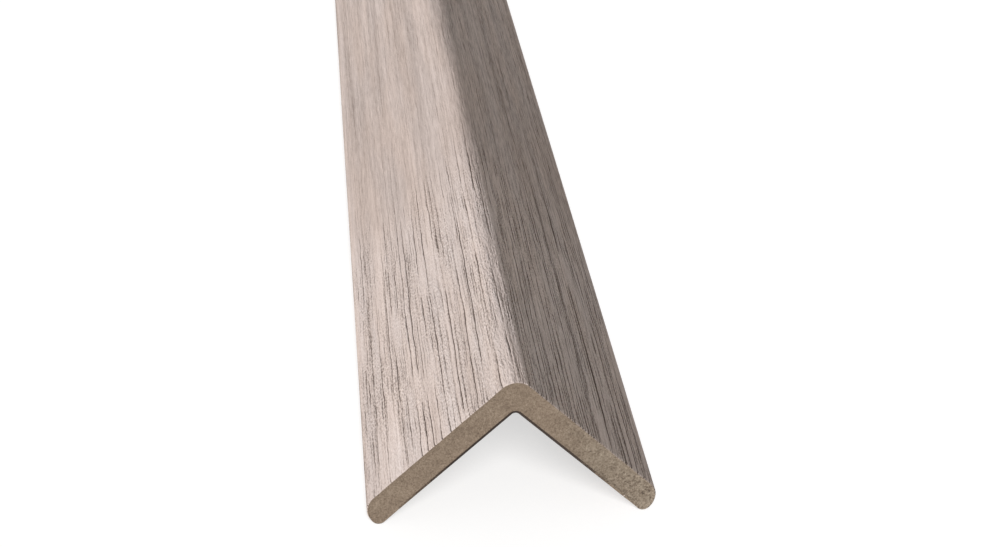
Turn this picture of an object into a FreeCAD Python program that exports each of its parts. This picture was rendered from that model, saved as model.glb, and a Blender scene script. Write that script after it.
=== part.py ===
# Corner guard moulding: an equal angle milled from fibreboard and wrapped in a woodgrain foil.
# It is one piece of stock, and it lies as it does on a floor: ridge up, on the noses of its legs.
# Frame: X across the section, Y along the stock, Z up, origin on the floor under its middle.

import FreeCAD, Part
import math
import os

# Driving dimensions, in millimetres
LENGTH = 2440.0         # stock length, eight feet
LEG = 28.6              # width of each leg, from the sharp corner where the two faces would meet
WALL = 4.0              # thickness of a leg
RIDGE_RADIUS = 2.6      # rounding of the outside corner, where the faces meet
VALLEY_RADIUS = 0.6     # rounding of the inside corner, which sits over the corner of the wall
NOSE_FACE_RADIUS = 3.0  # easing of a leg's tip on its face side

# Worked out from them
NOSE_BACK_RADIUS = WALL - NOSE_FACE_RADIUS  # the two roundings of a tip take up the whole wall
HALF_RIGHT_ANGLE = math.radians(45.0)       # how steeply a leg leans with both noses on the floor
LEAN_SIN = math.sin(HALF_RIGHT_ANGLE)
LEAN_COS = math.cos(HALF_RIGHT_ANGLE)
NOSE_BACK_CENTRE = (LEG - NOSE_BACK_RADIUS, WALL - NOSE_BACK_RADIUS)
CORNER_HEIGHT = sum(NOSE_BACK_CENTRE) * LEAN_COS + NOSE_BACK_RADIUS  # sharp corner above the floor

RIGHT_LEG = 1
LEFT_LEG = -1


def leg_point(along, depth, leg):
    """A point of the section: along the leg from the sharp corner, and depth in from its face."""
    across = along * LEAN_SIN - depth * LEAN_COS
    drop = along * LEAN_COS + depth * LEAN_SIN
    return FreeCAD.Vector(leg * across, -LENGTH / 2, CORNER_HEIGHT - drop)


def line(start, end):
    """A straight edge of the section."""
    return Part.LineSegment(start, end).toShape()


def quarter_arc(start, centre, end):
    """A quarter round from start to end, about centre."""
    to_middle = (start - centre) + (end - centre)
    middle = centre + to_middle.normalize() * (start - centre).Length
    return Part.Arc(start, middle, end).toShape()


def leg_edges(leg):
    """One leg's outline from the ridge round to the valley: face, two-radius nose and back."""
    face_start = leg_point(RIDGE_RADIUS, 0, leg)
    face_end = leg_point(LEG - NOSE_FACE_RADIUS, 0, leg)
    face_centre = leg_point(LEG - NOSE_FACE_RADIUS, NOSE_FACE_RADIUS, leg)
    tip = leg_point(LEG, NOSE_FACE_RADIUS, leg)
    back_centre = leg_point(*NOSE_BACK_CENTRE, leg)
    back_end = leg_point(LEG - NOSE_BACK_RADIUS, WALL, leg)
    back_start = leg_point(WALL + VALLEY_RADIUS, WALL, leg)
    return [
        line(face_start, face_end),
        quarter_arc(face_end, face_centre, tip),
        quarter_arc(tip, back_centre, back_end),
        line(back_end, back_start),
    ]


def corner_arc(from_face, radius):
    """The rounding between the two legs' faces, or between their backs, at a depth from the face."""
    centre_reach = from_face + radius
    start = leg_point(centre_reach, from_face, LEFT_LEG)
    centre = leg_point(centre_reach, centre_reach, LEFT_LEG)
    end = leg_point(centre_reach, from_face, RIGHT_LEG)
    return quarter_arc(start, centre, end)


def section_face():
    """The closed section of the angle, as a face across one end of the stock."""
    ridge = corner_arc(0, RIDGE_RADIUS)
    valley = corner_arc(WALL, VALLEY_RADIUS)
    edges = [ridge, valley] + leg_edges(RIGHT_LEG) + leg_edges(LEFT_LEG)
    return Part.Face(Part.Wire(Part.sortEdges(edges)[0]))


def corner_guard():
    """The moulding: its section run along the whole length, with square sawn ends."""
    return section_face().extrude(FreeCAD.Vector(0, LENGTH, 0))


os.makedirs("parts", exist_ok=True)
guard = corner_guard()
guard.exportStep("parts/corner_guard.step")

box = guard.BoundBox
print("corner_guard valid:", guard.isValid(), "solids:", len(guard.Solids))
print("size mm: %.2f x %.2f x %.2f" % (box.XLength, box.YLength, box.ZLength))
print("lowest point mm: %.4f" % box.ZMin)
print("section mm2: %.2f, volume mm3: %.0f" % (guard.Volume / LENGTH, guard.Volume))
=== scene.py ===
# %% [markdown]
# Dressing a corner guard moulding
#
# A corner guard is a long right-angled strip that is glued over the outside corner of a wall. This one
# is milled from fibreboard and wrapped in a greyed woodgrain foil, and its sawn ends show the brown board.
# The construction model already fixes its size and place. A plain solid could be given a wood colour and
# left at that, but the eye would miss the pressed grain, the foil's edge and the sawn fibres, so this
# lesson builds one finer mesh over the same section and gives it two finishes.

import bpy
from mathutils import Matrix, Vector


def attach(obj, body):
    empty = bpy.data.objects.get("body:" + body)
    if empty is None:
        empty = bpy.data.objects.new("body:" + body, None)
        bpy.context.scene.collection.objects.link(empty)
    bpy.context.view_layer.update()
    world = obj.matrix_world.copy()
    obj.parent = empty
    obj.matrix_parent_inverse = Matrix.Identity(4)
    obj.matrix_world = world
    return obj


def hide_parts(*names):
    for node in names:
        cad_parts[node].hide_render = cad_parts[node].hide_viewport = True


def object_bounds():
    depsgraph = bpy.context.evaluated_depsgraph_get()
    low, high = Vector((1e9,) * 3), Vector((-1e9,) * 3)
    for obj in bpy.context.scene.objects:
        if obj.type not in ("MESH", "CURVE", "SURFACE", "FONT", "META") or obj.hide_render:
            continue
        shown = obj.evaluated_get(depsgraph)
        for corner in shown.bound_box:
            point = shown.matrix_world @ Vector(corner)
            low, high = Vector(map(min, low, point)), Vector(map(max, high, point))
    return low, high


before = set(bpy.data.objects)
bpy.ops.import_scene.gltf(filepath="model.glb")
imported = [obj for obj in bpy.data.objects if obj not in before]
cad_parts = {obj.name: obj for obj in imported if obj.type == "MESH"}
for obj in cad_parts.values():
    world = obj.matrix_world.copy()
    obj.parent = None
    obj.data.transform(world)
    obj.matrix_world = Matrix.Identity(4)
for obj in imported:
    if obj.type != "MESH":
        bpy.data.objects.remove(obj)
cad_low, cad_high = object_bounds()
stock_length = cad_high.y - cad_low.y
print("construction model:", list(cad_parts))
print("its box, mm:", [round(1000 * (b - a), 2) for a, b in zip(cad_low, cad_high)])

# %% [markdown]
# The section
#
# Cut across, the moulding is an equal angle: two thin legs that meet at a rounded ridge outside and a
# tight valley inside, each ending in a nose that is rounder on its face than on its back. It lies ridge
# up, so both legs lean at 45 degrees. The outline could be a curve with a bevel, but then the foil and
# the bare back would not be easy to tell apart. Here it is a list of points, run by run, measured along
# a leg from the sharp corner and in from its face, and each point keeps the way that is outward there.

# %% The sizes of the section, in metres
import math

LEG = 0.0286
WALL = 0.0040
RIDGE_RADIUS = 0.0026
VALLEY_RADIUS = 0.0006
NOSE_FACE_RADIUS = 0.0030
NOSE_BACK_RADIUS = WALL - NOSE_FACE_RADIUS
LEAN = math.sqrt(0.5)
CORNER_HEIGHT = (LEG + WALL - 2 * NOSE_BACK_RADIUS) * LEAN + NOSE_BACK_RADIUS
print("sharp corner above the floor, mm:", round(1000 * CORNER_HEIGHT, 3))

# %% Straight and rounded runs of the outline
import numpy as np

def straight_run(start, end, outward, step):
    """Points from start to end, all with the same outward way."""
    count = max(1, math.ceil(math.dist(start, end) / step))
    along = np.linspace(start[0], end[0], count + 1)
    depth = np.linspace(start[1], end[1], count + 1)
    return [(a, d, *outward) for a, d in zip(along, depth)]

def rounded_run(centre, radius, first_degree, last_degree, step, hollow=False):
    """Points round a centre: 0 degrees looks along the leg, and 90 looks into its thickness."""
    turn = math.radians(last_degree - first_degree)
    count = max(4, math.ceil(abs(turn) * radius / step))
    side = -1 if hollow else 1
    points = []
    for i in range(count + 1):
        angle = math.radians(first_degree) + turn * i / count
        along, depth = math.cos(angle), math.sin(angle)
        points.append((centre[0] + radius * along, centre[1] + radius * depth, side * along, side * depth))
    return points

def joined(*runs):
    """Runs end to end: each starts where the one before it ends, so that point is kept once."""
    return [*runs[0], *(point for run in runs[1:] for point in run[1:])]

print("quarter round of the ridge:", len(rounded_run((0, 0), RIDGE_RADIUS, 0, 90, 0.00024)), "points")

# %% One leg, from the ridge round its nose to the valley
FOIL_STEP = 0.00024   # between points on the foil, fine enough for the pressed grain
BARE_STEP = 0.003     # between points on the bare back
FOIL_RETURN = 0.003   # how far the foil turns in over the back of a leg
FOIL_CUT = 0.00004    # how much of the back the foil's trimmed edge takes up

nose_on_face = (LEG - NOSE_FACE_RADIUS, NOSE_FACE_RADIUS)
nose_on_back = (LEG - NOSE_BACK_RADIUS, WALL - NOSE_BACK_RADIUS)
foil_end = (LEG - NOSE_BACK_RADIUS - FOIL_RETURN, WALL)
valley_end = (WALL + VALLEY_RADIUS, WALL)
foil_points = joined(
    rounded_run((RIDGE_RADIUS, RIDGE_RADIUS), RIDGE_RADIUS, -135, -90, FOIL_STEP),
    straight_run((RIDGE_RADIUS, 0), (LEG - NOSE_FACE_RADIUS, 0), (0, -1), FOIL_STEP),
    rounded_run(nose_on_face, NOSE_FACE_RADIUS, -90, 0, FOIL_STEP),
    rounded_run(nose_on_back, NOSE_BACK_RADIUS, 0, 90, FOIL_STEP),
    straight_run((LEG - NOSE_BACK_RADIUS, WALL), foil_end, (0, 1), FOIL_STEP),
)
bare_points = joined(
    straight_run((foil_end[0] - FOIL_CUT, WALL), valley_end, (0, 1), BARE_STEP),
    rounded_run((valley_end[0], valley_end[0]), VALLEY_RADIUS, -90, -135, BARE_STEP, hollow=True),
)
print("points on one leg: foil", len(foil_points), "and bare back", len(bare_points))

# %% [markdown]
# The whole outline
#
# Both legs are alike, so the left one is the right one mirrored. The distance along the outline from the
# ridge is kept as well. A foil is printed flat and then wrapped, so its pattern belongs to that distance,
# and it runs over the ridge and the noses without a break. Coordinates of the object itself would smear
# the pattern wherever the section bends.

# %% Mirror the leg into a closed outline
leg_points = np.array(foil_points + bare_points)
half = len(leg_points) - 1
right_x = (leg_points[:, 0] - leg_points[:, 1]) * LEAN
right_z = CORNER_HEIGHT - (leg_points[:, 0] + leg_points[:, 1]) * LEAN
right_out_x = (leg_points[:, 2] - leg_points[:, 3]) * LEAN
right_out_z = -(leg_points[:, 2] + leg_points[:, 3]) * LEAN

def both_legs(right, sign):
    """A closed outline: down the right leg to the valley, and back up the mirrored left leg."""
    return np.concatenate([right, sign * right[-2:0:-1]])

outline_x, outline_z = both_legs(right_x, -1), both_legs(right_z, 1)
out_x, out_z = both_legs(right_out_x, -1), both_legs(right_out_z, 1)
columns = len(outline_x)
print("outline:", columns, "points,", round(1000 * np.ptp(outline_x), 2), "mm wide")

# %% Measure the outline from the ridge
steps = np.hypot(np.diff(right_x), np.diff(right_z))
from_ridge = np.concatenate([[0.0], np.cumsum(steps)])
across_first = np.concatenate([from_ridge[:-1], -from_ridge[:0:-1]])
across_last = np.concatenate([from_ridge[1:], -from_ridge[-2::-1]])
across = both_legs(from_ridge, -1)
bare_column = both_legs((np.arange(half + 1) >= len(foil_points)).astype(float), 1) > 0
foil_strip = np.arange(half) < len(foil_points)
foil_strip = np.concatenate([foil_strip, foil_strip[::-1]])
foil_half_width = from_ridge[len(foil_points) - 1]
print("foil width, mm:", round(2000 * foil_half_width, 2))

# %% [markdown]
# Rows along the stock
#
# The mesh is the outline repeated along the length. Equal rows would either be too coarse for a close
# look at an end or far too many over the whole length, so the rows crowd at both ends, where the moulding
# is looked at closely, and spread out towards the middle.

# %% Place the rows
FIRST_STEP, STEP_GROWTH, END_EASING = 0.0016, 1.02, 0.00014

from_end = [END_EASING]
step = FIRST_STEP
while from_end[-1] + step < stock_length / 2:
    from_end.append(from_end[-1] + step)
    step *= STEP_GROWTH
from_end = np.array(from_end)
row_places = np.concatenate([from_end - stock_length / 2, stock_length / 2 - from_end[::-1]])
rows = len(row_places)
print("rows:", rows, "with steps from", 1000 * FIRST_STEP, "to", round(1000 * step, 1), "mm")

# %% [markdown]
# The pressed grain
#
# The foil is embossed: a roller presses shallow furrows into it along the print's grain. The finest lines
# are left to the material's bump, but the furrows break the outline of the ridge and catch light along
# their sides, so they are real shape. Noise that is stretched along the stock gives such furrows, and a
# slow sideways wander keeps them from looking ruled. They only ever go inwards, so the moulding never
# grows past the construction model.

# %% Press the furrows
from mathutils import Vector, noise

FURROW_WIDTH, FURROW_LENGTH = 0.0012, 0.050

def furrow(distance, place):
    """How far a furrow is pressed in here, from 0 to 1."""
    wander = 0.0004 * noise.noise(Vector((distance * 60, place * 14, 3.0)))
    figure = Vector(((distance + wander) / FURROW_WIDTH, place / FURROW_LENGTH, 0.5))
    return min(max(0.15 + 1.3 * noise.noise(figure), 0.0), 1.0)

furrows = np.zeros((rows, columns))
for row, place in enumerate(row_places):
    for column in np.flatnonzero(~bare_column):
        furrows[row, column] = furrow(across[column], place)
print("furrows cover", round(100 * float((furrows[:, ~bare_column] > 0.2).mean())), "% of the foil")

# %% [markdown]
# The swept skin
#
# Each point of the grid is an outline point moved inwards: by the furrow on the foil, and by the foil's
# own thickness on the bare back, so that the foil's trimmed edge stands up there as a small step. A sweep
# along a curve would give the plain section only, so the grid is filled point by point.

# %% Sweep the outline into a grid of quads
SKIN_INSET = 0.00002       # keeps every rounding inside the construction box
FURROW_DEPTH = 0.00004     # the deepest furrow
FOIL_THICKNESS = 0.00004

inset = np.where(bare_column, FOIL_THICKNESS, SKIN_INSET + FURROW_DEPTH * furrows)
grid = np.empty((rows, columns, 3))
grid[..., 0] = outline_x - out_x * inset
grid[..., 1] = row_places[:, None]
grid[..., 2] = outline_z - out_z * inset

here = np.arange(rows * columns).reshape(rows, columns)
beside = np.roll(here, -1, axis=1)
skin_faces = np.stack([here[:-1], beside[:-1], beside[1:], here[1:]], axis=-1).reshape(-1, 4)
print("skin:", len(skin_faces), "quads")

# %% [markdown]
# The sawn ends: rough faces
#
# A saw leaves the fibreboard slightly rough, and rougher on the side where its teeth came out and tore
# the fibres. A flat face would read as plastic. Each end is filled with triangles over scattered points,
# which are pushed in by noise at the size of the fibres, deeper on the torn side.

# %% Keep clear of the outline
FACE_MARGIN = 0.00034   # free of scattered points along the foil
BACK_MARGIN = 0.00056   # free of them along the bare back

def inside_nose(along, depth):
    """Whether a point keeps the margin from the roundings of a nose."""
    if along > nose_on_face[0] and depth < nose_on_face[1]:
        return math.dist((along, depth), nose_on_face) < NOSE_FACE_RADIUS - FACE_MARGIN
    if along > nose_on_back[0] and depth > nose_on_back[1]:
        return math.dist((along, depth), nose_on_back) < NOSE_BACK_RADIUS - FACE_MARGIN
    return along < LEG - FACE_MARGIN

def inside_ridge(along, depth):
    """Whether a point keeps the margin from the rounding of the ridge."""
    if max(along, depth) >= RIDGE_RADIUS:
        return True
    return math.dist((along, depth), (RIDGE_RADIUS, RIDGE_RADIUS)) < RIDGE_RADIUS - FACE_MARGIN

print("the middle of a leg is clear:", inside_nose(LEG / 2, WALL / 2) and inside_ridge(LEG / 2, WALL / 2))

# %% Scatter points over the end of the section
import random

FIBRE_STEP = 0.00032

def scattered_points(seed):
    """Places across the section, a fibre's width apart and none of them quite in line."""
    chance = random.Random(seed)
    found = []
    for leg in (1, -1):
        for i in range(int(LEG / FIBRE_STEP)):
            for k in range(int(WALL / FIBRE_STEP) + 1):
                along = (i + chance.uniform(0.15, 0.85)) * FIBRE_STEP
                depth = (k + chance.uniform(0.15, 0.85)) * FIBRE_STEP
                clear = FACE_MARGIN < depth < WALL - BACK_MARGIN and along > depth + 0.5 * FIBRE_STEP
                if clear and inside_nose(along, depth) and inside_ridge(along, depth):
                    found.append((leg * (along - depth) * LEAN, CORNER_HEIGHT - (along + depth) * LEAN))
    return found

print("scattered over one end:", len(scattered_points(1)), "points")

# %% Push the fibres in
SAWN_DEPTH = 0.00007
TORN_FROM, TORN_OVER, TORN_SHARE = 0.004, 0.014, 2.5

def torn_here(x, inward):
    """How torn the fibres are at this distance from the middle, from 0 to 1."""
    return min(max((inward * x - TORN_FROM) / TORN_OVER, 0), 1)

def sawn_inwards(x, z, inward, seed):
    """How far a scattered point is pushed in from the plane of the cut."""
    rough = 0.5 + 0.5 * noise.noise(Vector((x * 2100, z * 2100, seed)))
    return SAWN_DEPTH * (1 + TORN_SHARE * torn_here(x, inward)) * rough

print("deepest torn fibre, mm:", round(1000 * SAWN_DEPTH * (1 + TORN_SHARE), 3))

# %% [markdown]
# The sawn ends: eased rims
#
# Round each end runs a rim. Along the foil it is a hair's width, where the saw cut the foil off clean, and
# the finish draws it a little paler: partly the pale core of the cut foil, partly a painted highlight on
# its eased edge.
# Along the bare back it is wider, an arris that the finish draws as a dark line. Both are eased back a
# little from the plane of the cut, so that they catch the light in their own way. A bevel modifier would
# ease every edge alike, so the rim is made as a ring of quads between the skin and the rough face.

# %% Build one sawn end
from mathutils.geometry import delaunay_2d_cdt

FOIL_EDGE_WIDTH = 0.00012   # of the rim where the saw cut the foil
ARRIS_WIDTH = 0.00040       # of the rim along the bare back

def sawn_end(first_row, first_vertex, end_place, inward, seed):
    """The new points and the faces of an end: its eased rim, then the rough face inside the rim."""
    rim_width = np.where(bare_column, ARRIS_WIDTH, FOIL_EDGE_WIDTH) + inset[first_row]
    rim_x, rim_z = outline_x - out_x * rim_width, outline_z - out_z * rim_width
    flat_mm = [Vector((1000 * x, 1000 * z)) for x, z in (*zip(rim_x, rim_z), *scattered_points(seed))]
    filled = delaunay_2d_cdt(flat_mm, [], [list(range(columns))], 1, 1e-6)
    places, triangles, sources = filled[0], filled[2], filled[3]
    points, rim = [], [0] * columns
    for index, (place, source) in enumerate(zip(places, sources)):
        x, z = place.x / 1000, place.y / 1000
        on_rim = source[0] < columns
        if on_rim:
            rim[source[0]] = first_vertex + index
        pushed = 0.0 if on_rim else sawn_inwards(x, z, inward, seed)
        points.append((x, end_place + inward * pushed, z))
    edge = here[first_row]
    faces = [(edge[j], rim[j], rim[(j + 1) % columns], edge[(j + 1) % columns]) for j in range(columns)]
    faces += [tuple(first_vertex + i for i in triangle) for triangle in triangles]
    return points, faces if inward > 0 else [face[::-1] for face in faces]

front_points, front_faces = sawn_end(0, rows * columns, -stock_length / 2, 1, 1)
back_points, back_faces = sawn_end(rows - 1, rows * columns + len(front_points), stock_length / 2, -1, 2)
print("each end:", len(front_faces), "and", len(back_faces), "faces")

# %% [markdown]
# One closed mesh
#
# The skin and both ends share their edge points, so they close into one solid, as the stock is one piece.
# Separate objects for foil and board would show a seam at every rim. Instead each face says which of the
# two finishes it wears.

# %% Join the skin and the ends
import bpy

points = [*grid.reshape(-1, 3).tolist(), *front_points, *back_points]
faces = [*skin_faces.tolist(), *front_faces, *back_faces]
guard_mesh = bpy.data.meshes.new("corner_guard_dressed")
guard_mesh.from_pydata(points, [], faces)
guard = bpy.data.objects.new("corner_guard_dressed", guard_mesh)
bpy.context.scene.collection.objects.link(guard)
print("moulding:", len(points), "points,", sum(len(face) - 2 for face in faces), "triangles")

# %% Say which faces are foil and which are bare board
FOIL, BARE = 0, 1

skin_finish = np.tile(np.where(foil_strip, FOIL, BARE), rows - 1)
end_finish = [BARE] * (len(front_faces) + len(back_faces))
for first in (0, len(front_faces)):
    end_finish[first:first + columns] = np.where(foil_strip, FOIL, BARE)
guard_mesh.polygons.foreach_set("material_index", [*skin_finish.tolist(), *map(int, end_finish)])
guard_mesh.polygons.foreach_set("use_smooth", [True] * len(faces))
guard_mesh.set_sharp_from_angle(angle=math.radians(35))
print("foil faces:", int((skin_finish == FOIL).sum()))

# %% [markdown]
# Marks for the finishes
#
# The finishes need three things that a place alone does not tell: which faces are the rims of the ends, how
# deep the foil is pressed, and how torn the fibres are. A finish could work them out again from
# coordinates,
# but it would have to repeat the shape. Named values on the mesh carry them, and a node reads them.

# %% Mark the rims that the saw cut
past_foil = np.abs(across_first + across_last) / 2 - foil_half_width
rim_marks = np.where(foil_strip, 1.0, past_foil / past_foil.max())   # the dark line fades towards the foil
rim_values = np.zeros(len(faces))
for first in (len(skin_faces), len(skin_faces) + len(front_faces)):
    rim_values[first:first + columns] = rim_marks
guard_mesh.attributes.new("cut_edge", "FLOAT", "FACE").data.foreach_set("value", rim_values)
print("rim faces:", int((rim_values > 0).sum()))

# %% Keep the furrows and the torn fibres
end_count = len(front_points) + len(back_points)
furrow_values = [*furrows.reshape(-1), *[0.0] * end_count]
guard_mesh.attributes.new("furrow", "FLOAT", "POINT").data.foreach_set("value", furrow_values)
front_torn = [torn_here(x, 1) for x, y, z in front_points]
back_torn = [torn_here(x, -1) for x, y, z in back_points]
torn_values = [*[0.0] * (rows * columns), *front_torn, *back_torn]
guard_mesh.attributes.new("torn", "FLOAT", "POINT").data.foreach_set("value", torn_values)
print("marks:", [mark for mark in ("cut_edge", "furrow", "torn") if mark in guard_mesh.attributes])

# %% [markdown]
# Two maps
#
# A map lays the surface out flat. The first is the flat foil itself, in metres, which the print and its
# relief are drawn on. The second packs the whole surface into a square, because an exporter has to draw
# the finish into a picture: the foil takes most of the width, the bare back the rest, and the two ends
# sit above them. An automatic unwrap of so long a strip would leave most of the square empty. The ends of
# the stock get a larger share of the height, as they do of the rows.

# %% Lay the foil out flat
def row_corners(values):
    """For each face of the skin, a row's value at its four corners."""
    corners = np.stack([values[:-1], values[:-1], values[1:], values[1:]], axis=-1)
    return np.repeat(corners, columns, axis=0).reshape(-1)

strip_corners = np.stack([across_first, across_last, across_last, across_first], axis=-1)
skin_across = np.tile(strip_corners.reshape(-1), rows - 1)
skin_print = np.stack([skin_across, row_corners(row_places)], axis=-1)

end_loops = [i for face in (*front_faces, *back_faces) for i in face]
front_loops = sum(len(face) for face in front_faces)
is_front = np.arange(len(end_loops)) < front_loops
end_across = np.zeros(len(end_loops))
end_across[:4 * columns] = strip_corners[:, [0, 3, 1, 2]].reshape(-1)
end_across[front_loops:front_loops + 4 * columns] = strip_corners[:, [1, 2, 0, 3]].reshape(-1)
end_print = np.stack([end_across, np.where(is_front, -stock_length / 2, stock_length / 2)], axis=-1)
print("the print is laid out for", len(skin_print) + len(end_print), "corners")

# %% Pack the surface into a square
END_SCALE = 7.2        # of the square for each metre across an end
SKIN_SHARE = 0.84      # of the square's height that the long strips take
FOIL_SHARE = 0.66      # of its width that the foil takes
CROWDED_SHARE = 0.3    # of the height that goes by the count of rows, and the rest by their places

def packed_across(distance):
    """Where a distance from the ridge lies across the square: the foil first, then the bare back."""
    foil = (distance / foil_half_width + 1) / 2 * FOIL_SHARE
    past = (abs(distance) - foil_half_width) / (from_ridge[-1] - foil_half_width) / 2
    bare = FOIL_SHARE + 0.01 + (past if distance > 0 else 1 - past) * (0.99 - FOIL_SHARE)
    return foil if abs(distance) <= foil_half_width else bare

even_rows, counted_rows = row_places / stock_length + 0.5, np.linspace(0, 1, rows)
packed_rows = ((1 - CROWDED_SHARE) * even_rows + CROWDED_SHARE * counted_rows) * SKIN_SHARE
skin_packed = np.stack([[packed_across(s) for s in skin_across], row_corners(packed_rows)], axis=-1)
end_xz = np.array([(points[i][0], points[i][2]) for i in end_loops])
end_packed = np.stack([np.where(is_front, 0.15, 0.55), np.full(len(end_loops), 0.846)], axis=-1)
end_packed += END_SCALE * end_xz
print("ends are drawn", round(1024 * END_SCALE / 1000, 1), "pixels to a millimetre on a square of 1024")

# %% Give the mesh both maps
for name, skin, ends in (("foil_print", skin_print, end_print), ("OFBake", skin_packed, end_packed)):
    layer = guard_mesh.uv_layers.new(name=name)
    layer.data.foreach_set("uv", np.concatenate([skin, ends]).astype(np.float32).reshape(-1))
print("maps:", [layer.name for layer in guard_mesh.uv_layers])

# %% [markdown]
# Small helpers for finishes
#
# A finish is a tree of nodes. Written out in full, every node takes several lines, so a few helpers keep
# the cells short: they add a node and fill its inputs, stretch a noise along the grain, add or multiply
# layers, and turn a value into a colour.

# %% Add a node and stretch a noise
def put(tree, kind, inputs, **settings):
    """A new node with its settings; an input takes a number, a colour or another node's output."""
    node = tree.nodes.new("ShaderNode" + kind)
    for name, value in settings.items():
        setattr(node, name, value)
    for key, value in inputs.items():
        if isinstance(value, bpy.types.NodeSocket):
            tree.links.new(value, node.inputs[key])
        else:
            node.inputs[key].default_value = value
    return node

def grain_noise(tree, place_mm, width, length, shift, detail=2.0):
    """Noise around 0.5, in figures that are so many millimetres wide and long."""
    stretch = {0: place_mm, 1: (1 / width, 1 / length, 0), 2: (shift, 0.37 * shift, 0)}
    figures = put(tree, "VectorMath", stretch, operation="MULTIPLY_ADD").outputs[0]
    inputs = {"Vector": figures, "Scale": 1.0, "Detail": detail, "Roughness": 0.55}
    return put(tree, "TexNoise", inputs, noise_dimensions="2D").outputs[0]

def new_finish(name):
    """An empty finish with its tree and its output."""
    finish = bpy.data.materials.new(name)
    finish.use_nodes = True
    finish.node_tree.nodes.clear()
    return finish, finish.node_tree, finish.node_tree.nodes.new("ShaderNodeOutputMaterial")

woodgrain, grain, grain_output = new_finish("woodgrain_foil")
print("a finish to fill:", woodgrain.name)

# %% Add layers, multiply them and colour them
def layered(tree, base, *layers):
    """A base with outputs added to it, each by its own weight."""
    total = base
    for output, weight in layers:
        total = put(tree, "Math", {0: output, 1: weight, 2: total}, operation="MULTIPLY_ADD").outputs[0]
    return total

def times(tree, first, second):
    """An output multiplied by another, or by a number."""
    return put(tree, "Math", {0: first, 1: second}, operation="MULTIPLY").outputs[0]

def ramp(tree, factor, stops):
    """Colours along a factor from 0 to 1."""
    node = put(tree, "ValToRGB", {0: factor})
    elements = node.color_ramp.elements
    while len(elements) < len(stops):
        elements.new(0.5)
    for element, (position, colour) in zip(elements, stops):
        element.position = position
        element.color = (*colour, 1.0)
    return node.outputs[0]

def tinted(tree, colour, tint):
    """A colour multiplied by a tint."""
    inputs = {0: 1.0, 6: colour, 7: tint}
    return put(tree, "Mix", inputs, data_type="RGBA", blend_type="MULTIPLY").outputs[2]

print("helpers:", ", ".join(helper.__name__ for helper in (put, grain_noise, layered, times, ramp, tinted)))

# %% [markdown]
# The woodgrain foil: where its lines run
#
# The print copies a limed, greyed oak: pale ground, soft bands, and thin dark lines along the grain.
# Quite straight lines would look like brushed metal, so the place on the foil is first bent a little
# sideways by slow, quick and ragged noise, and every later layer is drawn on the bent place. That keeps
# bands, lines and relief in step.

# %% Bend the foil's lines
foil_map = put(grain, "UVMap", {}, uv_map="foil_print").outputs[0]
flat_mm = put(grain, "VectorMath", {0: foil_map, "Scale": 1000.0}, operation="SCALE").outputs[0]
slow_bend = grain_noise(grain, flat_mm, 16, 90, 3.1)
quick_bend = grain_noise(grain, flat_mm, 1.8, 6, 8.4)
ragged_bend = grain_noise(grain, flat_mm, 0.5, 1.3, 4.9)
bend_mm = layered(grain, -0.87, (slow_bend, 1.2), (quick_bend, 0.4), (ragged_bend, 0.14))
sideways = put(grain, "CombineXYZ", {"X": bend_mm}).outputs[0]
bent_mm = put(grain, "VectorMath", {0: flat_mm, 1: sideways}, operation="ADD").outputs[0]
print("woodgrain lines are drawn on", foil_map.node.uv_map)

# %% [markdown]
# The woodgrain foil: ground and sand
#
# Under the lines lies a ground of soft bands, streaks, threads and fibres, each finer and shorter than
# the one before. The embossing adds sandy stipple and small dimples, which come in strips between smooth
# strips. All of them are noise stretched along the grain. One noise with much detail would be quicker to
# write, but it has no way to be long when it is wide and short when it is fine.

# %% Layers of the ground
bands = grain_noise(grain, bent_mm, 3.4, 190, 1.7)
streaks = grain_noise(grain, bent_mm, 0.8, 40, 5.3)
threads = grain_noise(grain, bent_mm, 0.42, 12, 9.9)
fibres = grain_noise(grain, bent_mm, 0.28, 3.5, 9.2)
stipple = grain_noise(grain, flat_mm, 0.24, 0.5, 2.6, detail=1.0)
dimples = grain_noise(grain, flat_mm, 0.32, 1.3, 5.8)
strip_noise = grain_noise(grain, bent_mm, 2.6, 20, 6.6)
strip_range = {"Value": strip_noise, "From Min": 0.38, "From Max": 0.62, "To Min": 0.4}
strips = put(grain, "MapRange", strip_range).outputs[0]
print("the ground and its sand take", len(grain.nodes), "nodes so far")

# %% [markdown]
# The woodgrain foil: hairlines
#
# Oak pores are cut vessels, and the print shows them as thin dark lines of even width that fade in and
# out along the grain, each pressed into a shallow groove. Thresholded noise gives blots of uneven width.
# Here the width of the foil is dealt out to lanes by a Voronoi pattern in one dimension: the distance
# from a lane's middle draws the line and, wider, its groove, and a noise of the lane's own breaks the
# line into pieces.

# %% Draw lines in lanes
def hairlines(tree, place_mm, spacing, half_width, length, shift):
    """Thin lines along the grain and the shallow groove round each, broken into fading pieces."""
    axes = put(tree, "SeparateXYZ", {0: place_mm}).outputs
    counted = layered(tree, shift, (axes["X"], 1 / spacing))
    lane_inputs = {"W": counted, "Scale": 1.0, "Randomness": 1.0}
    lanes = put(tree, "TexVoronoi", lane_inputs, voronoi_dimensions="1D").outputs
    own = put(tree, "SeparateColor", {0: lanes["Color"]}).outputs[0]
    own_place = {"X": times(tree, own, 90.0), "Y": times(tree, axes["Y"], 1 / length)}
    piece_noise = grain_noise(tree, put(tree, "CombineXYZ", own_place).outputs[0], 1, 1, shift, detail=1.0)
    piece = put(tree, "MapRange", {"Value": piece_noise, "From Min": 0.4, "From Max": 0.62}).outputs[0]
    line_and_groove = []
    for outer, inner in ((half_width, 0.3 * half_width), (2.6 * half_width, 0.0)):
        reach = {"Value": lanes["Distance"], "From Min": outer / spacing, "From Max": inner / spacing}
        line_and_groove.append(times(tree, put(tree, "MapRange", reach).outputs[0], piece))
    return line_and_groove

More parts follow.
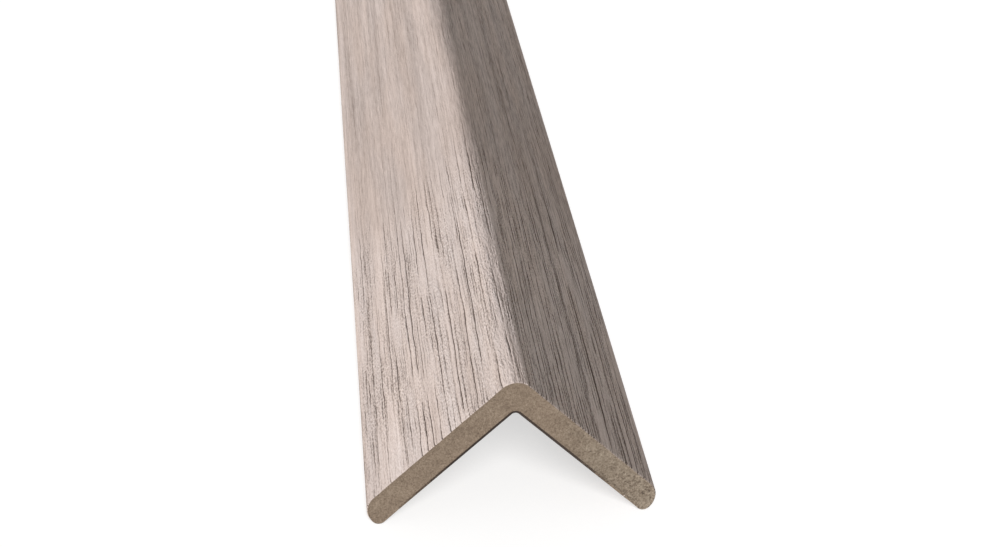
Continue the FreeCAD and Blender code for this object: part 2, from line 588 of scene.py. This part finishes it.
long_lines, long_grooves = hairlines(grain, bent_mm, 1.4, 0.1, 15, 7.1)
short_lines, short_grooves = hairlines(grain, bent_mm, 0.5, 0.09, 8, 3.3)
print("hairlines: long ones 1.4 mm apart, short ones 0.5 mm apart")

# %% [markdown]
# The woodgrain foil: busy and calm
#
# A print repeats with every turn of its roller, and it is not equally busy all the way round: the lines and
# the sand stand out at one place and fade towards the next. A cosine along the stock gives that repeat, and
# slow noise keeps its edge from running straight across. The strips then decide where the short lines and
# the sand gather. The shaded leg on the right shows more contrast in the picture than one even print would
# in so little light, so its half of the print is drawn bolder. That bolder print is partly painted shade:
# it stands in for the small shadows of the pressed grain, which the key lamp does not reach on that leg.
# How the contrast divides between print and relief is a guess.

# %% Let the print swell and fade
REPEAT_MM, BUSY_AT_MM = 290.0, -1208.0

across_mm, along_mm = put(grain, "SeparateXYZ", {0: flat_mm}).outputs[:2]
next_busy_mm = BUSY_AT_MM + REPEAT_MM
turn_range = {"Value": along_mm, "From Min": BUSY_AT_MM, "From Max": next_busy_mm, "To Max": 2 * math.pi}
turned = put(grain, "MapRange", turn_range, clamp=False).outputs[0]
repeat_wave = put(grain, "Math", {0: turned}, operation="COSINE").outputs[0]
uneven = layered(grain, -0.25, (grain_noise(grain, flat_mm, 25, 60, 2.2), 0.5), (repeat_wave, 1.0))
strength_range = {"Value": uneven, "From Min": 0.16, "From Max": 0.86, "To Min": 0.18}
strength = put(grain, "MapRange", strength_range, interpolation_type="SMOOTHSTEP").outputs[0]
busy = times(grain, strips, strength)

sand, dents = times(grain, stipple, busy), times(grain, dimples, busy)
long_lines, long_grooves = times(grain, long_lines, strength), times(grain, long_grooves, strength)
short_lines, short_grooves = times(grain, short_lines, busy), times(grain, short_grooves, busy)
print("the print repeats", round(1000 * stock_length / REPEAT_MM, 1), "times along the stock")

# %% Make the print bolder on the right, partly as painted shade of the relief
BOLDEST = 2.2

bolder_range = {"Value": across_mm, "From Min": -1.0, "From Max": 3.0, "To Min": 1.0, "To Max": BOLDEST}
bolder_print_and_relief_shade = put(grain, "MapRange", bolder_range).outputs[0]
print("on the right leg the print is", BOLDEST, "times as bold")

# %% [markdown]
# The woodgrain foil: colour and relief
#
# The layers are summed twice: once into a tone, which a ramp turns from dark pore to pale ground, and
# once into a height in millimetres for the bump, so that what looks dark is also pressed in. A slow tint
# wanders between grey and a warmer beige. The foil is matt, so its shine is low, and rougher in the lines.

# %% Colour the foil
# cut_edge makes the foil's cut rim a little paler: partly the pale core of the cut foil, partly a painted
# highlight on its eased edge
cut_edge = put(grain, "Attribute", {}, attribute_name="cut_edge").outputs["Fac"]
pressed = put(grain, "Attribute", {}, attribute_name="furrow").outputs["Fac"]
fine_print = layered(
    grain, -0.18,
    (threads, 0.14), (fibres, 0.22), (long_lines, -0.66), (short_lines, -0.5), (strength, 0.05),
)
tone = layered(
    grain, 0.172,
    (bands, 0.24), (streaks, 0.22), (times(grain, fine_print, bolder_print_and_relief_shade), 1.0), (sand, 0.9), (busy, -0.45),
    (strength, 0.138), (pressed, -0.05), (cut_edge, 0.04),
)
print_colour = ramp(grain, tone, [(0.0, (0.115, 0.089, 0.077)), (0.25, (0.30, 0.247, 0.223)),
                                  (0.5, (0.545, 0.462, 0.429)), (0.8, (0.72, 0.635, 0.607))])
slow_tint = grain_noise(grain, flat_mm, 5, 38, 3.7)
grey_to_beige = ramp(grain, slow_tint, [(0.35, (0.977, 0.979, 0.982)), (0.65, (1.0, 0.977, 0.956))])
foil_colour = tinted(grain, print_colour, grey_to_beige)
print("the foil's tone is a sum of 11 layers")

# %% Press the relief into the foil
height_mm = layered(
    grain, 0.0,
    (long_lines, -0.04), (long_grooves, -0.08), (short_grooves, -0.135),
    (threads, 0.03), (fibres, 0.09), (sand, 0.26), (dents, 0.24),
)
relief = put(grain, "Bump", {"Height": height_mm, "Distance": 0.001, "Strength": 1.0}).outputs[0]
woodgrain.cycles.use_bump_map_correction = False
foil_shader = put(grain, "BsdfPrincipled", {
    "Base Color": foil_colour,
    "Roughness": layered(grain, 0.48, (long_lines, 0.2), (stipple, 0.1)),
    "Specular IOR Level": 0.02,
    "Normal": relief,
})
grain.links.new(foil_shader.outputs[0], grain_output.inputs[0])
print("woodgrain foil has", len(grain.nodes), "nodes")

# %% [markdown]
# The bare fibreboard
#
# Fibreboard is wood ground to fibres and pressed with resin: an even khaki brown with fine pale and dark
# specks. Its specks have no direction on a sawn end, so they come from noise in the object's own place.
# On the milled backs the cutter leaves faint lines along the stock, which a stretched noise adds; on an end
# that noise is cut across and only adds specks. The back rims of the ends are drawn as a dark line by their
# mark, darkest at the valley, and torn fibres are coarser and a little more olive.

# %% Layers of the board
fibreboard, board, board_output = new_finish("bare_fibreboard")
board_place = put(board, "TexCoord", {}).outputs["Object"]
board_mm = put(board, "VectorMath", {0: board_place, "Scale": 1000.0}, operation="SCALE").outputs[0]
milled_mm = put(board, "VectorMath", {0: board_mm, 1: (2.2, 0.02, 2.2)}, operation="MULTIPLY").outputs[0]

def specks(place_mm, scale, detail, roughness=0.5):
    """Noise with no direction, around 0.5."""
    inputs = {"Vector": place_mm, "Scale": scale, "Detail": detail, "Roughness": roughness}
    return put(board, "TexNoise", inputs).outputs[0]

clouds, flecks = specks(board_mm, 0.45, 2.0), specks(board_mm, 4.0, 4.0, 0.7)
milled_lines = specks(milled_mm, 1.0, 3.0)
# the cut_edge mark draws a dark line along the back rims of the ends, darkest at the valley and fading
# towards the foil
dark_back_rim = put(board, "Attribute", {}, attribute_name="cut_edge").outputs["Fac"]
torn_fibres = put(board, "Attribute", {}, attribute_name="torn").outputs["Fac"]
coarse = times(board, specks(board_mm, 3.6, 3.0, 0.65), torn_fibres)
print("board layers: clouds, flecks, milled lines, dark_rim and torn fibres")

# %% Colour and roughness of the board
board_tone = layered(board, -0.35, (clouds, 0.3), (flecks, 1.1), (milled_lines, 0.3), (dark_back_rim, -1.3),
                     (coarse, 1.7), (torn_fibres, -0.79))
khaki = ramp(board, board_tone, [(0.0, (0.055, 0.038, 0.030)), (0.2, (0.157, 0.116, 0.088)),
                                 (0.5, (0.365, 0.290, 0.225)), (0.85, (0.585, 0.492, 0.400))])
warm_to_olive = ramp(board, torn_fibres, [(0.0, (1.0, 0.965, 0.943)), (0.5, (0.99, 1.0, 1.0))])
board_shader = put(board, "BsdfPrincipled", {
    "Base Color": tinted(board, khaki, warm_to_olive),
    "Roughness": 0.85,
    "Normal": put(board, "Bump", {"Height": board_tone, "Distance": 0.00008, "Strength": 1.0}).outputs[0],
})
board.links.new(board_shader.outputs[0], board_output.inputs[0])
print("bare fibreboard has", len(board.nodes), "nodes")

# %% Put the finishes on the moulding
guard_mesh.materials.append(woodgrain)
guard_mesh.materials.append(fibreboard)
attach(guard, "root")
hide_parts("corner_guard")
print("the moulding wears", [finish.name for finish in guard_mesh.materials])

# %% [markdown]
# The floor
#
# A white studio floor is needed that still takes a soft shadow. Lighting it until it turns white would
# bleach the moulding too. Instead the camera sees the floor as partly glowing, so it reaches white in
# plain light and only dims where the moulding shades it, while the moulding itself is lit by an ordinary
# pale floor. A node that knows what kind of ray has arrived tells looking from lighting.

# %% Tell looking from lighting
def looked_at(tree):
    """1 where a ray comes from the camera, a mirror or glass, and 0 where it only carries light."""
    ray = put(tree, "LightPath", {}).outputs
    seen = ray["Is Camera Ray"]
    for way in ("Is Glossy Ray", "Is Transmission Ray"):
        seen = put(tree, "Math", {0: seen, 1: ray[way]}, operation="MAXIMUM").outputs[0]
    return seen

paper, paper_tree, paper_output = new_finish("white_paper")
seen = looked_at(paper_tree)
print("rays that look are sorted out by", len(paper_tree.nodes) - 1, "nodes")

# %% Lay the floor
floor_mesh = bpy.data.meshes.new("studio_floor")
floor_mesh.from_pydata([(-30, -30, 0), (30, -30, 0), (30, 30, 0), (-30, 30, 0)], [], [(0, 1, 2, 3)])
floor = bpy.data.objects.new("studio_floor", floor_mesh)
bpy.context.scene.collection.objects.link(floor)
glow = put(paper_tree, "Emission", {"Color": (1, 1, 1, 1), "Strength": 0.62})
shade = put(paper_tree, "BsdfDiffuse", {"Color": (0.44, 0.44, 0.44, 1)})
shown = put(paper_tree, "AddShader", {0: glow.outputs[0], 1: shade.outputs[0]})
lit = put(paper_tree, "BsdfDiffuse", {"Color": (0.64, 0.6, 0.53, 1)})
either = put(paper_tree, "MixShader", {0: seen, 1: lit.outputs[0], 2: shown.outputs[0]})
paper_tree.links.new(either.outputs[0], paper_output.inputs[0])
floor_mesh.materials.append(paper)
print("floor:", round(floor.dimensions.x), "m wide")

# %% [markdown]
# The light
#
# The moulding is lit by one soft lamp that stands rather low on the left. The left face is bright, the
# shade begins on the round of the ridge, and the right face has only the light of the pale surround and
# the floor. A higher lamp would graze the right face too, and the shade would then begin too far down it.
# On the floor that lamp would throw a wide shade to the right, so the floor has lamps of its own: one that
# stands behind the camera and leaves a soft edge of shade under the moulding, and a faint dome overhead
# that darkens the floor only where the moulding comes near it. Light linking tells each lamp what it
# lights. Sun lamps light the whole length alike, which a panel near one end would not.

# %% Hang the lamps
def soft_sun(name, towards, strength, spread_degrees, lit_object):
    """A soft lamp that shines from this way and lights one object only."""
    lamp_data = bpy.data.lights.new(name, "SUN")
    lamp_data.energy = strength
    lamp_data.angle = math.radians(spread_degrees)
    lamp = bpy.data.objects.new(name, lamp_data)
    lamp.rotation_euler = Vector(towards).to_track_quat("Z", "Y").to_euler()
    bpy.context.scene.collection.objects.link(lamp)
    lamp.light_linking.receiver_collection = bpy.data.collections.new(name + "_lights")
    lamp.light_linking.receiver_collection.objects.link(lit_object)
    return lamp

lamps = [
    soft_sun("soft_key", (-0.82, -0.27, 0.505), 2.8, 16, guard),
    soft_sun("floor_lamp", (-0.02, -0.72, 0.69), 2.4, 22, floor),
    soft_sun("floor_dome", (0.0, 0.0, 1.0), 0.3, 175, floor),
]
print("lamps:", [(lamp.name, round(lamp.data.energy, 2)) for lamp in lamps])

# %% Fill the shade from a pale surround
surround = bpy.data.worlds.new("pale_surround")
bpy.context.scene.world = surround
surround.use_nodes = True
sky = surround.node_tree
sky.nodes.clear()
sky_output = sky.nodes.new("ShaderNodeOutputWorld")
sky_light = put(sky, "Background", {"Color": (1.0, 0.985, 0.965, 1.0), "Strength": 0.345})
sky_shown = put(sky, "Background", {"Color": (1.0, 1.0, 1.0, 1.0), "Strength": 1.0})
sky_either = put(sky, "MixShader", {0: looked_at(sky), 1: sky_light.outputs[0], 2: sky_shown.outputs[0]})
sky.links.new(sky_either.outputs[0], sky_output.inputs[0])
print("the surround lights with strength", round(sky_light.inputs["Strength"].default_value, 2))

# %% [markdown]
# The camera
#
# The view is from just in front of one end, close above it, looking down along the moulding, so the end
# is large and the far part runs out of the top of the picture. The lens and place could be set by eye,
# but the section's sizes are known, so they come from matching its straight edges and the sawn end.

# %% Set the camera
from mathutils import Matrix

PITCH, YAW, ROLL = math.radians(31.121), math.radians(-6.982), math.radians(1.413)

camera_data = bpy.data.cameras.new("end_view")
camera_data.sensor_fit = "HORIZONTAL"
camera_data.sensor_width = 36.0
camera_data.lens = 58.42
camera_data.clip_start = 0.005
camera = bpy.data.objects.new("end_view", camera_data)
heading = Matrix.Rotation(YAW, 4, "Z") @ Matrix.Rotation(math.pi / 2 - PITCH, 4, "X")
camera.matrix_world = (
    Matrix.Translation((-0.02258, -1.38322, 0.13668)) @ heading @ Matrix.Rotation(ROLL, 4, "Z")
)
bpy.context.scene.collection.objects.link(camera)
bpy.context.scene.camera = camera
bpy.context.scene.view_settings.view_transform = "Standard"
print("camera stands", round(1000 * (cad_low.y - camera.location.y)), "mm in front of the end")
